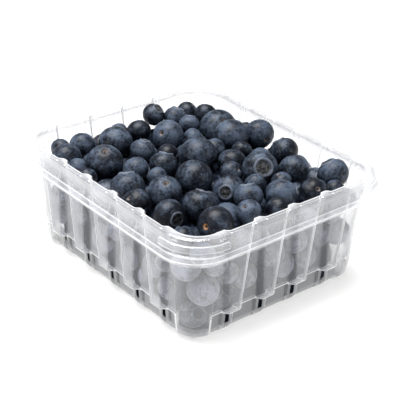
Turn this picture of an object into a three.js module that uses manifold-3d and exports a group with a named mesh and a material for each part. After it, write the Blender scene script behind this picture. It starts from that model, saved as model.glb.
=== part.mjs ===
// A clear plastic punnet heaped with blueberries, as a three.js scene graph.
// Millimetres, +Z up. The origin is the middle of the punnet's foot, on the surface it stands on.
// The short, four-rib side faces -Y and the long, five-rib side faces -X.
import * as THREE from "three";
import { mergeVertices } from "three/addons/utils/BufferGeometryUtils.js";
import Module from "manifold-3d";

const wasm = await Module();
wasm.setup();

// ---- Driving dimensions ----

// Plan of the tub at its mouth, measured over the ribs.
const MOUTH_X = 102.0; // short side
const MOUTH_Y = 118.8; // long side
const HEIGHT = 51.0; // lip above the surface it stands on
const SHEET = 0.7; // thickness of the plastic

// Upright ribs: the wall runs out on a rib and back in the narrow groove beside it.
const RIB_PITCH = 17.85;
const RIBS_X = 4; // on each short side
const RIBS_Y = 5; // on each long side

// Heights of the turns in the wall, from the lip down.
const SHOULDER_Z = 49.7;
const SKIRT_FOOT_Z = 45.1;
const FLANGE_Z = 44.3;
const FLANGE_LIP_Z = 43.2; // the flange's edge turns down this far
const STEP_Z = 11.2; // the ribs end here, above a narrower foot
const FOOT_TOP_Z = 9.8;
const FOOT_EDGE_Z = 2.2; // the wall turns in under the foot from here

// Wall sections. out: how far a rib stands outside the mouth's plan; groove: how far the groove
// lies behind the rib; corner: the same for the corner; rib: width of the rib's face; flank: the
// sideways run of its sloping sides; r: corner radius. All are for the middle of the sheet.
const AT_MOUTH = { out: 0.0, groove: 1.7, corner: 1.6, rib: 12.2, flank: 1.6, r: 10.6 };
const AT_STEP = { out: -1.5, groove: 2.8, corner: 2.7, rib: 6.0, flank: 1.3, r: 10.5 };
const AT_FOOT_TOP = { out: -5.7, groove: 1.5, corner: -1.4, rib: 5.6, flank: 0.9, r: 10.4 };
const AT_FOOT = { out: -6.4, groove: 1.2, corner: -1.0, rib: 5.0, flank: 0.9, r: 9.6 };
const AT_BASE = { out: -7.8, groove: 0.6, corner: 1.1, rib: 5.0, flank: 0.9, r: 9.0 };

// The lip turns out and down as a skirt, which ends in a flat flange. [out, corner radius]
const LIP = [1.9, 16.2];
const SHOULDER = [3.0, 16.6];
const SKIRT_FOOT = [3.9, 16.8];
const FLANGE_ROOT = [4.5, 16.6];
const FLANGE = [7.2, 15.8];

// One upright vent slot in the foot under each rib.
const VENT = { width: 2.8, low: 1.2, high: 8.8 };

// A long boss on the skirt at each corner, which a lid snaps over.
const BOSS = { run: 2.2, low: 45.9, high: 48.7, proud: 0.9 };

const ARC_STEPS = 6; // facets in each corner

// The fruit. A berry is a slightly flattened ball; width is across its waist.
const BERRY = { least: 8.4, most: 16.8, flat: 0.92 };
const BERRY_GAP = 0.75; // clear of the plastic
const HEAP_SEED = 2611;
const PRESSED = 0.94; // how far apart two touching berries lie, over the sum of their radii
const TRIES = 1200; // places tried for each berry before the lowest is kept
const SETTLE = 60; // small moves downhill after that
const MISSES = 40; // berries that find no place before a layer is full
const HEAP_EDGE_Z = 44.5; // highest centre of a berry at the walls
const HEAP_RISE = 3.4; // and how much higher it is in the middle
const TOP_DEPTH = 7.0; // the berries below this depth are dropped before the top ones are set
const FILL_DEPTH = 2.0; // and those that fill in between the top ones stay this much lower
const CORE_BELOW = 7.0; // the core's top below those centres
const CORE_INSET = 6.2; // the core's sides inside the wall
const TOP_LAYER = 3; // depth of the berries on top, under the highest centres
const SEEN_DEPTH = 9.0; // and of those that show in the gaps between them
const SPUR = 3.0; // thickness of the hidden bar that ties a top berry to the core
const FACET_GROWTH = 1.06; // a faceted ball is drawn this much larger, to keep its volume

// The large berries that make the heap's outline on top: middle (x, y, z) and width.
const TOP_BERRIES = [
  [-41.0, 39.5, 44.0, 13.8],
  [-16.5, 37.5, 45.5, 15.9],
  [-31.5, 24.0, 45.5, 15.9],
  [6.5, 29.0, 46.0, 14.0],
  [2.5, 3.0, 47.5, 16.7],
  [-14.0, 5.5, 46.5, 12.7],
  [-11.0, -11.5, 46.5, 16.2],
  [-38.0, -1.5, 46.0, 14.7],
  [-28.0, -13.5, 46.0, 14.2],
  [-37.5, -28.5, 45.0, 12.9],
  [-24.0, -30.5, 46.0, 14.3],
  [-29.0, -46.5, 46.5, 14.6],
  [-2.5, -24.0, 43.0, 14.1],
  [16.5, -22.0, 46.5, 16.1],
  [10.5, -41.5, 45.0, 13.5],
  [32.5, 24.5, 44.5, 17.5],
  [27.0, 9.5, 47.5, 16.1],
  [41.0, 6.0, 46.0, 13.8],
  [39.0, -12.5, 45.0, 13.2],
  [-12.5, 22.5, 46.0, 11.3],
  [14.0, -6.5, 44.5, 12.5],
  [28.5, -30.0, 46.5, 13.2],
  [40.5, -41.5, 45.5, 13.6],
  [23.0, -47.5, 44.5, 12.8],
  [-29.0, 45.0, 45.0, 11.5],
  [-1.0, 41.0, 45.5, 11.3],
  [15.0, 51.0, 46.0, 10.7],
  [24.0, 46.0, 44.0, 11.3],
  [37.0, 39.5, 45.0, 10.4],
  [-25.5, 10.0, 46.0, 11.2],
  [-2.5, -36.0, 45.5, 12.2],
  [22.5, 33.5, 45.5, 9.7],
  [-41.5, -12.0, 44.5, 12.0],
  [-11.5, -46.0, 45.5, 10.7],
  [1.0, -50.0, 45.0, 10.8],
];
// And three that stand out in the corners of the tub.
const CORNER_BERRIES = [
  [38.7, -47.5, 21.0, 12.8],
  [-39.0, 46.2, 14.5, 12.2],
  [-37.0, -44.5, 7.8, 12.6],
];

// ---- Plan rings ----

const ribCentres = (count) =>
  Array.from({ length: count }, (_, i) => (i - (count - 1) / 2) * RIB_PITCH);

// A ring has the same number of points at every level, so that any two can be joined. Each side
// runs counterclockwise: a corner arc, a short return, then four points for each rib.
// side(along, inward) gives a point on the side whose outward normal is at angle 90 * index - 90.
function sidePoint(index, along, distance) {
  const turn = (index * Math.PI) / 2;
  const c = Math.round(Math.cos(turn));
  const s = Math.round(Math.sin(turn));
  return [along * c + distance * s, along * s - distance * c];
}

function cornerArc(index, halfLength, halfWidth, radius) {
  const points = [];
  for (let i = 0; i <= ARC_STEPS; i++) {
    const angle = (i / ARC_STEPS) * (Math.PI / 2);
    const along = halfLength - radius + radius * Math.sin(angle);
    const distance = halfWidth - radius + radius * Math.cos(angle);
    points.push(sidePoint(index, along, distance));
  }
  return points;
}

// Sides 0 and 2 are short (faces -Y and +Y), 1 and 3 long (faces +X and -X).
const halfSizes = (index, out) =>
  index % 2
    ? [MOUTH_Y / 2 + out, MOUTH_X / 2 + out]
    : [MOUTH_X / 2 + out, MOUTH_Y / 2 + out];

function ribbedRing(section, z, offset = 0) {
  const points = [];
  const face = section.out + offset;
  const groove = face - section.groove;
  const corner = face - section.corner;
  for (let index = 0; index < 4; index++) {
    const faceDistance = halfSizes(index, face)[1];
    const grooveDistance = halfSizes(index, groove)[1];
    const [halfLength, cornerDistance] = halfSizes(index, corner);
    const straight = halfLength - section.r;
    const jog = straight - Math.abs(cornerDistance - grooveDistance) * 0.35;
    points.push(sidePoint(index, -jog, grooveDistance));
    for (const centre of ribCentres(index % 2 ? RIBS_Y : RIBS_X)) {
      const half = section.rib / 2;
      points.push(sidePoint(index, centre - half - section.flank, grooveDistance));
      points.push(sidePoint(index, centre - half, faceDistance));
      points.push(sidePoint(index, centre + half, faceDistance));
      points.push(sidePoint(index, centre + half + section.flank, grooveDistance));
    }
    points.push(sidePoint(index, jog, grooveDistance));
    points.push(...cornerArc(index, halfLength, cornerDistance, section.r));
  }
  return points.map(([x, y]) => [x, y, z]);
}

// The same points along the plain outer edge of the lip.
function lipRing([out, radius], z) {
  const points = [];
  for (let index = 0; index < 4; index++) {
    const [halfLength, distance] = halfSizes(index, out);
    const jog = halfLength - radius - 0.5;
    points.push(sidePoint(index, -jog, distance));
    for (const centre of ribCentres(index % 2 ? RIBS_Y : RIBS_X))
      for (const shift of [-0.42, -0.34, 0.34, 0.42])
        points.push(sidePoint(index, centre + shift * RIB_PITCH, distance));
    points.push(sidePoint(index, jog, distance));
    points.push(...cornerArc(index, halfLength, distance, radius));
  }
  return points.map(([x, y]) => [x, y, z]);
}

// A plain round-cornered ring.
function plainRing([out, radius], z) {
  const points = [];
  for (let index = 0; index < 4; index++)
    points.push(...cornerArc(index, ...halfSizes(index, out), radius));
  return points.map(([x, y]) => [x, y, z]);
}

// ---- Solids from rings, and joins ----

// Joins each ring to the next, then the last to the first, or closes both ends with a fan
// round their middle.
function loft(rings, closed = false) {
  const count = rings[0].length;
  const positions = rings.flat(2);
  const indices = [];
  for (let i = 0; i < rings.length - (closed ? 0 : 1); i++)
    for (let j = 0; j < count; j++) {
      const next = ((i + 1) % rings.length) * count;
      const k = (j + 1) % count;
      indices.push(i * count + j, i * count + k, next + k);
      indices.push(i * count + j, next + k, next + j);
    }
  const cap = (ringIndex, flip) => {
    const ring = rings[ringIndex];
    const hub = positions.length / 3;
    positions.push(0, 0, ring.reduce((sum, p) => sum + p[2], 0) / count);
    for (let j = 0; j < count; j++) {
      const a = ringIndex * count + j;
      const b = ringIndex * count + ((j + 1) % count);
      indices.push(...(flip ? [b, a, hub] : [a, b, hub]));
    }
  };
  if (!closed) {
    cap(0, true);
    cap(rings.length - 1, false);
  }
  const geometry = new THREE.BufferGeometry();
  geometry.setAttribute("position", new THREE.Float32BufferAttribute(positions, 3));
  geometry.setIndex(indices);
  return geometry;
}

function toSolid(geometry) {
  const bare = geometry.clone();
  for (const name of Object.keys(bare.attributes))
    if (name !== "position") bare.deleteAttribute(name);
  const merged = mergeVertices(bare, 1e-4);
  return new wasm.Manifold(
    new wasm.Mesh({
      numProp: 3,
      vertProperties: new Float32Array(merged.attributes.position.array),
      triVerts: new Uint32Array(merged.index.array),
    }),
  );
}

function toGeometry(solid) {
  const mesh = solid.getMesh();
  const geometry = new THREE.BufferGeometry();
  geometry.setAttribute("position", new THREE.BufferAttribute(mesh.vertProperties, 3));
  geometry.setIndex(new THREE.BufferAttribute(mesh.triVerts, 1));
  return geometry;
}

// Keeps the surface that encloses the most, so that sealed hollows are filled and loose
// scraps dropped.
function outerBody(geometry) {
  const index = geometry.index.array;
  const at = geometry.attributes.position.array;
  const parent = Array.from({ length: at.length / 3 }, (_, i) => i);
  const find = (i) => {
    while (parent[i] !== i) i = parent[i] = parent[parent[i]];
    return i;
  };
  for (let i = 0; i < index.length; i += 3) {
    parent[find(index[i])] = find(index[i + 1]);
    parent[find(index[i + 2])] = find(index[i + 1]);
  }
  const volumes = new Map();
  const corner = (i) => new THREE.Vector3().fromArray(at, 3 * index[i]);
  for (let i = 0; i < index.length; i += 3) {
    const volume = corner(i).dot(corner(i + 1).cross(corner(i + 2)));
    const body = find(index[i]);
    volumes.set(body, (volumes.get(body) ?? 0) + volume);
  }
  const largest = [...volumes].sort((a, b) => b[1] - a[1])[0][0];
  const kept = [];
  for (let i = 0; i < index.length; i += 3)
    if (find(index[i]) === largest) kept.push(index[i], index[i + 1], index[i + 2]);
  const body = new THREE.BufferGeometry();
  body.setAttribute("position", geometry.attributes.position);
  body.setIndex(kept);
  return mergeVertices(body, 1e-4);
}

// ---- The punnet ----

// The tub: the rings are listed up the inside, out along the lip, and down the outside to the
// foot, and are joined from the foot.
function tubSheet() {
  const half = SHEET / 2;
  const rings = [
    ribbedRing(AT_BASE, SHEET, -SHEET),
    ribbedRing(AT_FOOT, FOOT_EDGE_Z + half, -half),
    ribbedRing(AT_FOOT_TOP, FOOT_TOP_Z + half, -half),
    ribbedRing(AT_STEP, STEP_Z + half, -half),
    ribbedRing(AT_MOUTH, HEIGHT - 0.5, -half),
    ribbedRing(AT_MOUTH, HEIGHT, half / 2),
    lipRing(LIP, HEIGHT),
    lipRing(LIP, HEIGHT - SHEET),
    ribbedRing(AT_MOUTH, HEIGHT - SHEET - 0.1, half),
    ribbedRing(AT_STEP, STEP_Z, half),
    ribbedRing(AT_FOOT_TOP, FOOT_TOP_Z - half, half),
    ribbedRing(AT_FOOT, FOOT_EDGE_Z, half),
    ribbedRing(AT_BASE, 0, 0),
  ];
  return loft(rings.reverse());
}

// The lip's round shoulder, the skirt and the flange: a closed band, listed over the top and
// outwards, then back underneath.
function skirtBand() {
  const inside = ([out, radius], by) => [out - by, radius];
  const rings = [
    plainRing(inside(LIP, 0.5), HEIGHT - 0.1),
    plainRing(inside(SHOULDER, 0.35), HEIGHT - 0.4),
    plainRing(SHOULDER, SHOULDER_Z),
    plainRing(SKIRT_FOOT, SKIRT_FOOT_Z),
    plainRing(FLANGE_ROOT, FLANGE_Z + 0.4),
    plainRing(inside(FLANGE, 0.5), FLANGE_Z + 0.2),
    plainRing(FLANGE, FLANGE_Z - 0.2),
    plainRing(FLANGE, FLANGE_LIP_Z),
    plainRing(inside(FLANGE, SHEET), FLANGE_LIP_Z),
    plainRing(inside(FLANGE, SHEET + 0.4), FLANGE_Z - 0.5),
    plainRing(FLANGE_ROOT, FLANGE_Z - 0.3),
    plainRing(inside(SKIRT_FOOT, SHEET), FLANGE_Z + 0.1),
    plainRing(inside(SHOULDER, SHEET), SHOULDER_Z - 0.1),
    plainRing(inside(LIP, 0.5), HEIGHT - SHEET + 0.1),
  ];
  return loft(rings.reverse(), true);
}

// A block through the foot's wall below each rib.
function ventBlocks() {
  const blocks = [];
  const depth = 8;
  const middle = (AT_FOOT_TOP.out + AT_FOOT.out) / 2;
  for (let index = 0; index < 4; index++)
    for (const centre of ribCentres(index % 2 ? RIBS_Y : RIBS_X)) {
      const [x, y] = sidePoint(index, centre, halfSizes(index, middle)[1]);
      const size = [VENT.width, depth, VENT.high - VENT.low];
      if (index % 2) size.splice(0, 2, depth, VENT.width);
      const block = new THREE.BoxGeometry(...size);
      block.translate(x, y, (VENT.high + VENT.low) / 2);
      blocks.push(block);
    }
  return blocks;
}

// A boss follows the skirt round one corner; its section is a low trapezium that tapers
// away at both ends.
function cornerBoss(index) {
  const rings = [];
  const steps = 10;
  const mid = (BOSS.low + BOSS.high) / 2;
  const tall = (BOSS.high - BOSS.low) / 2;
  const lean = (SKIRT_FOOT[0] - SHOULDER[0]) / (SHOULDER_Z - SKIRT_FOOT_Z);
  const radius = SHOULDER[1];
  const arc = (radius * Math.PI) / 2;
  const length = arc + 2 * BOSS.run;
  for (let i = 0; i <= steps; i++) {
    const travel = (i / steps) * length;
    const past = travel - BOSS.run;
    const turn = THREE.MathUtils.clamp(past / arc, 0, 1) * (Math.PI / 2);
    const straightBefore = Math.min(past, 0);
    const straightAfter = Math.max(past - arc, 0);
    const fromEnd = Math.min(travel, length - travel) / tall;
    const swell = Math.sqrt(1 - (1 - Math.min(fromEnd, 1)) ** 2) * 0.94 + 0.06;
    const [halfLength, distance] = halfSizes(index, SHOULDER[0]);
    const section = [
      [-0.35, -1],
      [BOSS.proud * swell, -0.62],
      [BOSS.proud * swell, 0.62],
      [-0.35, 1],
    ];
    rings.push(
      section.map(([proud, height]) => {
        const z = mid + height * tall * swell;
        const out = proud + lean * (SHOULDER_Z - z);
        const reach = radius + out;
        const along = halfLength - radius + reach * Math.sin(turn) + straightBefore;
        const away = distance - radius + reach * Math.cos(turn) - straightAfter;
        const [x, y] = sidePoint(index, along, away);
        return [x, y, z];
      }),
    );
  }
  return bandOfSections(rings);
}

// A bar through a row of small sections, with flat ends.
function bandOfSections(sections) {
  const count = sections[0].length;
  const positions = sections.flat(2);
  const indices = [];
  for (let i = 0; i + 1 < sections.length; i++)
    for (let j = 0; j < count; j++) {
      const a = i * count + j;
      const b = i * count + ((j + 1) % count);
      indices.push(a, b + count, b, a, a + count, b + count);
    }
  const end = (sections.length - 1) * count;
  for (let j = 1; j + 1 < count; j++) {
    indices.push(0, j, j + 1);
    indices.push(end, end + j + 1, end + j);
  }
  const geometry = new THREE.BufferGeometry();
  geometry.setAttribute("position", new THREE.Float32BufferAttribute(positions, 3));
  geometry.setIndex(indices);
  return geometry;
}

function punnetGeometry() {
  let solid = toSolid(tubSheet()).add(toSolid(skirtBand()));
  for (let index = 0; index < 4; index++) solid = solid.add(toSolid(cornerBoss(index)));
  for (const block of ventBlocks()) solid = solid.subtract(toSolid(block));
  return toGeometry(solid);
}

// ---- The fruit ----

function seededRandom(seed) {
  let state = seed >>> 0;
  return () => {
    state = (Math.imul(state, 1664525) + 1013904223) >>> 0;
    return state / 4294967296;
  };
}

// How far inside the mouth's plan a turn of the wall (its groove or its corner) is at a height.
function wallInset(turn, z) {
  const inset = (section) => section[turn] - section.out;
  const blend = (a, b, t) => a + (b - a) * Math.min(Math.max(t, 0), 1);
  const wall = (height) =>
    blend(inset(AT_STEP), inset(AT_MOUTH), (height - STEP_Z) / (HEIGHT - STEP_Z));
  if (z > STEP_Z + 6) return wall(z);
  return blend(inset(AT_FOOT), wall(STEP_Z + 6), (z - FOOT_TOP_Z) / (STEP_Z + 6 - FOOT_TOP_Z));
}

// Whether a ball keeps clear of the grooves, and in a corner of the corner's round wall.
function fitsInside(x, y, z, radius) {
  const skin = SHEET / 2 + BERRY_GAP;
  const groove = wallInset("groove", z) + skin;
  const corner = wallInset("corner", z) + AT_STEP.r;
  const intoCornerX = Math.abs(x) - (MOUTH_X / 2 - corner);
  const intoCornerY = Math.abs(y) - (MOUTH_Y / 2 - corner);
  const pastX = Math.abs(x) + radius - (MOUTH_X / 2 - groove);
  const pastY = Math.abs(y) + radius - (MOUTH_Y / 2 - groove);
  if (intoCornerX <= 0 || intoCornerY <= 0) return Math.max(pastX, pastY) <= 0;
  const chord = (past) => Math.sqrt(Math.max(past * (2 * radius - past), 0));
  if (chord(pastX) > intoCornerY + 0.5 || chord(pastY) > intoCornerX + 0.5) return false;
  const reach = AT_STEP.r - skin - radius;
  return Math.sqrt(intoCornerX * intoCornerX + intoCornerY * intoCornerY) <= reach;
}

// The mound: how much higher the fruit lies at a place than along the walls.
function mound(x, y) {
  const fall = (t) => Math.max(1 - Math.abs(t * t * t), 0);
  return HEAP_RISE * fall(x / (MOUTH_X / 2)) * fall(y / (MOUTH_Y / 2));
}

// The height at which a dropped ball comes to lie on the floor or on those before it.
function restHeight(x, y, radius, berries) {
  let z = SHEET + BERRY_GAP + radius;
  for (const b of berries) {
    const reach = PRESSED * (radius + b.radius);
    const dx = x - b.x;
    const dy = y - b.y;
    const gap = reach * reach - dx * dx - dy * dy;
    if (gap > 0) z = Math.max(z, b.z + Math.sqrt(gap));
  }
  return z;
}

function presses(x, y, z, radius, berries) {
  return berries.some((b) => {
    const reach = PRESSED * (radius + b.radius);
    const [dx, dy, dz] = [x - b.x, y - b.y, z - b.z];
    return dx * dx + dy * dy + dz * dz < reach * reach;
  });
}

// Berries are dropped one by one, each in the lowest of many places, until no place is left
// below a limit. Smaller ones fill the last hollows. None presses into those kept clear.
function dropBerries(berries, limit, clear, random) {
  let misses = 0;
  while (misses < MISSES) {
    const spread = (BERRY.most - BERRY.least) * (1 - misses / MISSES);
    const width = BERRY.least + (spread * (random() + random() + random())) / 3;
    const radius = width / 2;
    let best = { score: Infinity };
    const consider = (x, y) => {
      const z = restHeight(x, y, radius, berries);
      const score = z - mound(x, y);
      if (score >= best.score || !fitsInside(x, y, z, radius)) return;
      if (!presses(x, y, z, radius, clear)) best = { x, y, z, radius, score };
    };
    for (let i = 0; i < TRIES; i++)
      consider((random() - 0.5) * MOUTH_X, (random() - 0.5) * MOUTH_Y);
    let reach = radius;
    for (let i = 0; i < SETTLE; i++) {
      const dx = (random() - 0.5) * reach;
      const dy = (random() - 0.5) * reach;
      if (best.score < Infinity) consider(best.x + dx, best.y + dy);
      reach *= 0.93;
    }
    if (best.score > limit) misses += 1;
    else berries.push(best);
  }
}

function packedBerries() {
  const random = seededRandom(HEAP_SEED);
  const placed = ([x, y, z, width]) => ({ x, y, z, radius: width / 2 });
  const berries = CORNER_BERRIES.map(placed);
  const top = TOP_BERRIES.map(placed);
  dropBerries(berries, HEAP_EDGE_Z - TOP_DEPTH, top, random);
  berries.push(...top);
  dropBerries(berries, HEAP_EDGE_Z - FILL_DEPTH, [], random);
  for (const berry of berries) {
    berry.tilt = Math.acos(1 - 2 * random());
    berry.turn = 2 * Math.PI * random();
  }
  return { berries, placed: [...berries.slice(0, CORNER_BERRIES.length), ...top] };
}

const coreTop = (x, y) => HEAP_EDGE_Z - CORE_BELOW + mound(x, y);

// The bare core under the berries: straight sides and a domed top.
function heapCore() {
  const rings = [];
  const sides = 40;
  const ringAt = (inset, scale, zOf) =>
    Array.from({ length: sides }, (_, i) => {
      const angle = (i / sides) * 2 * Math.PI;
      const c = Math.cos(angle);
      const s = Math.sin(angle);
      const round = (v) => Math.sign(v) * Math.abs(v) ** 0.28;
      const x = scale * (MOUTH_X / 2 - inset) * round(c);
      const y = scale * (MOUTH_Y / 2 - inset) * round(s);
      return [x, y, zOf(x, y)];
    });
  const low = SHEET + BERRY_GAP + CORE_INSET;
  const inset = (z) => wallInset("groove", z) + CORE_INSET;
  for (const z of [low, STEP_Z + 6]) rings.push(ringAt(inset(z), 1, () => z));
  for (const scale of [1, 0.8, 0.5, 0.2]) rings.push(ringAt(inset(HEIGHT), scale, coreTop));
  return loft(rings);
}

// The berries on top have more facets than those against the walls.
function berryGeometry(berry) {
  const [sides, levels] = topDepth(berry) < TOP_LAYER ? [7, 4] : [6, 3];
  const ball = new THREE.SphereGeometry(berry.radius * FACET_GROWTH, sides, levels);
  ball.rotateX(Math.PI / 2);
  ball.scale(1, 1, BERRY.flat);
  ball.rotateX(berry.tilt);
  ball.rotateZ(berry.turn);
  ball.translate(berry.x, berry.y, berry.z);
  return ball;
}

// A bar from a berry's middle inwards and down into the core.
function spurGeometry(berry) {
  const depth = Math.min(berry.z, coreTop(berry.x, berry.y)) - 4;
  const run = new THREE.Vector3(-0.25 * berry.x, -0.25 * berry.y, depth - berry.z);
  const bar = new THREE.BoxGeometry(SPUR, SPUR, run.length());
  bar.translate(0, 0, run.length() / 2);
  bar.lookAt(run);
  bar.translate(berry.x, berry.y, berry.z);
  return bar;
}

const topDepth = (berry) => HEAP_EDGE_Z + mound(berry.x, berry.y) - berry.z;

// Only berries near the mound's surface or the walls show.
function shows(berry) {
  const inset = wallInset("groove", berry.z);
  const wallDepth = Math.min(
    MOUTH_X / 2 - inset - Math.abs(berry.x),
    MOUTH_Y / 2 - inset - Math.abs(berry.y),
  );
  return topDepth(berry) < SEEN_DEPTH || wallDepth < berry.radius + 1.5;
}

function heapGeometry() {
  let solid = toSolid(heapCore());
  const { berries, placed } = packedBerries();
  for (const berry of placed) solid = solid.add(toSolid(spurGeometry(berry)));
  for (const berry of berries.filter(shows)) solid = solid.add(toSolid(berryGeometry(berry)));
  return outerBody(toGeometry(solid));
}

// ---- The scene graph ----

const clearPlastic = new THREE.MeshStandardMaterial({
  color: 0xe9edf0,
  roughness: 0.12,
  metalness: 0,
  transparent: true,
  opacity: 0.35,
});
const berrySkin = new THREE.MeshStandardMaterial({
  color: 0x27324a,
  roughness: 0.6,
  metalness: 0,
});

function namedMesh(name, geometry, material) {
  const mesh = new THREE.Mesh(geometry, material);
  mesh.name = name;
  return mesh;
}

const filledPunnet = new THREE.Group();
filledPunnet.add(namedMesh("punnet", punnetGeometry(), clearPlastic));
filledPunnet.add(namedMesh("berries", heapGeometry(), berrySkin));

export default filledPunnet;
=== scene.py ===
"""A clear plastic punnet heaped with blueberries, dressed over its CAD frame."""
import math

import bpy
import numpy as np
from mathutils import Matrix, Vector


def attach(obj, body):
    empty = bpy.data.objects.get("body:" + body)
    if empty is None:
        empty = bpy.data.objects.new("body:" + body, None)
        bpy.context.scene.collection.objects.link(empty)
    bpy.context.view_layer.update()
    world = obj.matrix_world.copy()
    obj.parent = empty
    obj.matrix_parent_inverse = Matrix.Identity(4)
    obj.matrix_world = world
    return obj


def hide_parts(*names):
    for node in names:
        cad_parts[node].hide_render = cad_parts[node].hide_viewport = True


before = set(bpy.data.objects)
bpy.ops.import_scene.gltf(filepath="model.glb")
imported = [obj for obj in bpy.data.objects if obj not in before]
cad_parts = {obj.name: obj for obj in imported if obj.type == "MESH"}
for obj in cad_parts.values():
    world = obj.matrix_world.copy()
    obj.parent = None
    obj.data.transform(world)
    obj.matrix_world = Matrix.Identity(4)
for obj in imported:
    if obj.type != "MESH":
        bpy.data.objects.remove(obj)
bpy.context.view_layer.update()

MM = 0.001

# ---- Named sizes, in millimetres, as in the part's source ----

MOUTH_X, MOUTH_Y, HEIGHT, SHEET = 102.0, 118.8, 51.0, 0.7
HALF_X, HALF_Y = MOUTH_X / 2, MOUTH_Y / 2
RIB_PITCH, RIBS_X, RIBS_Y = 17.85, 4, 5
SHOULDER_Z, SKIRT_FOOT_Z, FLANGE_Z, FLANGE_LIP_Z = 49.7, 45.1, 44.3, 43.2
STEP_Z, FOOT_TOP_Z, FOOT_EDGE_Z = 11.2, 9.8, 2.2

# A section through the ribbed walls: how far out of the mouth's edge the ribs' faces are, how
# far in from them the grooves and the corners are, the width of a rib's face and the run of
# its flanks, and the corners' radius.
AT_MOUTH = dict(out=0.0, groove=1.7, corner=1.6, rib=12.2, flank=1.6, r=10.6)
AT_STEP = dict(out=-1.5, groove=2.8, corner=2.7, rib=6.0, flank=1.3, r=10.5)
AT_FOOT_TOP = dict(out=-5.7, groove=1.5, corner=-1.4, rib=5.6, flank=0.9, r=10.4)
AT_FOOT = dict(out=-6.4, groove=1.2, corner=-1.0, rib=5.0, flank=0.9, r=9.6)
AT_BASE = dict(out=-7.8, groove=0.6, corner=1.1, rib=5.0, flank=0.9, r=9.0)

# A plain outline: how far out of the mouth's edge it is, and its corners' radius.
LIP, SHOULDER, SKIRT_FOOT = (1.9, 16.2), (3.0, 16.6), (3.9, 16.8)
FLANGE_ROOT, FLANGE = (4.5, 16.6), (7.2, 15.8)

VENT_WIDTH, VENT_LOW, VENT_HIGH = 2.8, 1.2, 8.8
BOSS_RUN, BOSS_LOW, BOSS_HIGH, BOSS_PROUD = 2.2, 45.9, 48.7, 0.9

BERRY_LEAST, BERRY_MOST, BERRY_FLAT = 8.4, 16.8, 0.92
BERRY_GAP, HEAP_SEED, PRESSED = 0.75, 2611, 0.94
TRIES, SETTLE, MISSES = 1200, 60, 40
SETTLE_SHRINK = 0.93  # each small move downhill reaches this share of the last one
HEAP_EDGE_Z, HEAP_RISE, TOP_DEPTH, FILL_DEPTH = 44.5, 3.4, 7.0, 2.0
WALL_FROM_Z = STEP_Z + 6  # the heap follows the walls above this, and the foot below it
CORNER_ROOM = 0.5  # a corner berry may stand past the grooves this far beyond the corner

# The berries that make the heap's outline: middle (x, y, z) and width.
TOP_BERRIES = [
    (-41.0, 39.5, 44.0, 13.8), (-16.5, 37.5, 45.5, 15.9), (-31.5, 24.0, 45.5, 15.9),
    (6.5, 29.0, 46.0, 14.0), (2.5, 3.0, 47.5, 16.7), (-14.0, 5.5, 46.5, 12.7),
    (-11.0, -11.5, 46.5, 16.2), (-38.0, -1.5, 46.0, 14.7), (-28.0, -13.5, 46.0, 14.2),
    (-37.5, -28.5, 45.0, 12.9), (-24.0, -30.5, 46.0, 14.3), (-29.0, -46.5, 46.5, 14.6),
    (-2.5, -24.0, 43.0, 14.1), (16.5, -22.0, 46.5, 16.1), (10.5, -41.5, 45.0, 13.5),
    (32.5, 24.5, 44.5, 17.5), (27.0, 9.5, 47.5, 16.1), (41.0, 6.0, 46.0, 13.8),
    (39.0, -12.5, 45.0, 13.2), (-12.5, 22.5, 46.0, 11.3), (14.0, -6.5, 44.5, 12.5),
    (28.5, -30.0, 46.5, 13.2), (40.5, -41.5, 45.5, 13.6), (23.0, -47.5, 44.5, 12.8),
    (-29.0, 45.0, 45.0, 11.5), (-1.0, 41.0, 45.5, 11.3), (15.0, 51.0, 46.0, 10.7),
    (24.0, 46.0, 44.0, 11.3), (37.0, 39.5, 45.0, 10.4), (-25.5, 10.0, 46.0, 11.2),
    (-2.5, -36.0, 45.5, 12.2), (22.5, 33.5, 45.5, 9.7), (-41.5, -12.0, 44.5, 12.0),
    (-11.5, -46.0, 45.5, 10.7), (1.0, -50.0, 45.0, 10.8),
]
CORNER_BERRIES = [
    (38.7, -47.5, 21.0, 12.8), (-39.0, 46.2, 14.5, 12.2), (-37.0, -44.5, 7.8, 12.6),
]

# ---- Named sizes of the visual model alone, in millimetres ----

ARC_STEPS = 14  # in each corner
HAIR = 0.1  # the smallest step between two rows of the sheet
MOUTH_DROP = 0.5  # the mouth's inner edge, under the lip
WALL_FOOT_RISE, WALL_FOOT_SHARE = 3.0, 0.03  # over the ledge, and how far on from its section
FLANGE_UNDER, ROOT_UNDER, EDGE_OVER, ROOT_OVER = 0.5, 0.3, 0.2, 0.4  # from FLANGE_Z
TURN_IN, TURN_OUT = SHEET + 0.7, SHEET + 0.3  # in from its edge, where it bends down
BAND_OUT, BAND_IN = (0.4, 0.21), (2.1, 0.37)  # in from the flange's edge, and over FLANGE_Z
SLOT_RIM = 0.35
BOSS_STEPS, BOSS_SIDES = 60, 10
BOSS_ROOT, BOSS_STEEP, BOSS_END = 0.35, 1.5, 0.06  # its depth in the skirt, sides and ends

# The core under the real berries. Its rings: the height, and how far inside the grooves.
CORE_BELOW, CORE_INSET, CORE_FLARE = 7.0, 6.2, 0.65
CORE_RINGS = (
    (SHEET + HAIR, 1.6), (1.6, 1.05), (FOOT_EDGE_Z + 0.4, CORE_FLARE), (FOOT_TOP_Z, CORE_FLARE),
    (WALL_FROM_Z, CORE_INSET),
)
CORE_TOP_SCALES, CORE_SIDES, CORE_ROUNDNESS = (1, 0.8, 0.5, 0.2), 40, 0.28

# A berry gets fine rings in the top layer. It is left out if its middle is deeper than
# SEEN_DEPTH and its skin further than BY_WALL from the walls.
TOP_LAYER, SEEN_DEPTH, BY_WALL = 7, 14, 3.0

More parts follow.
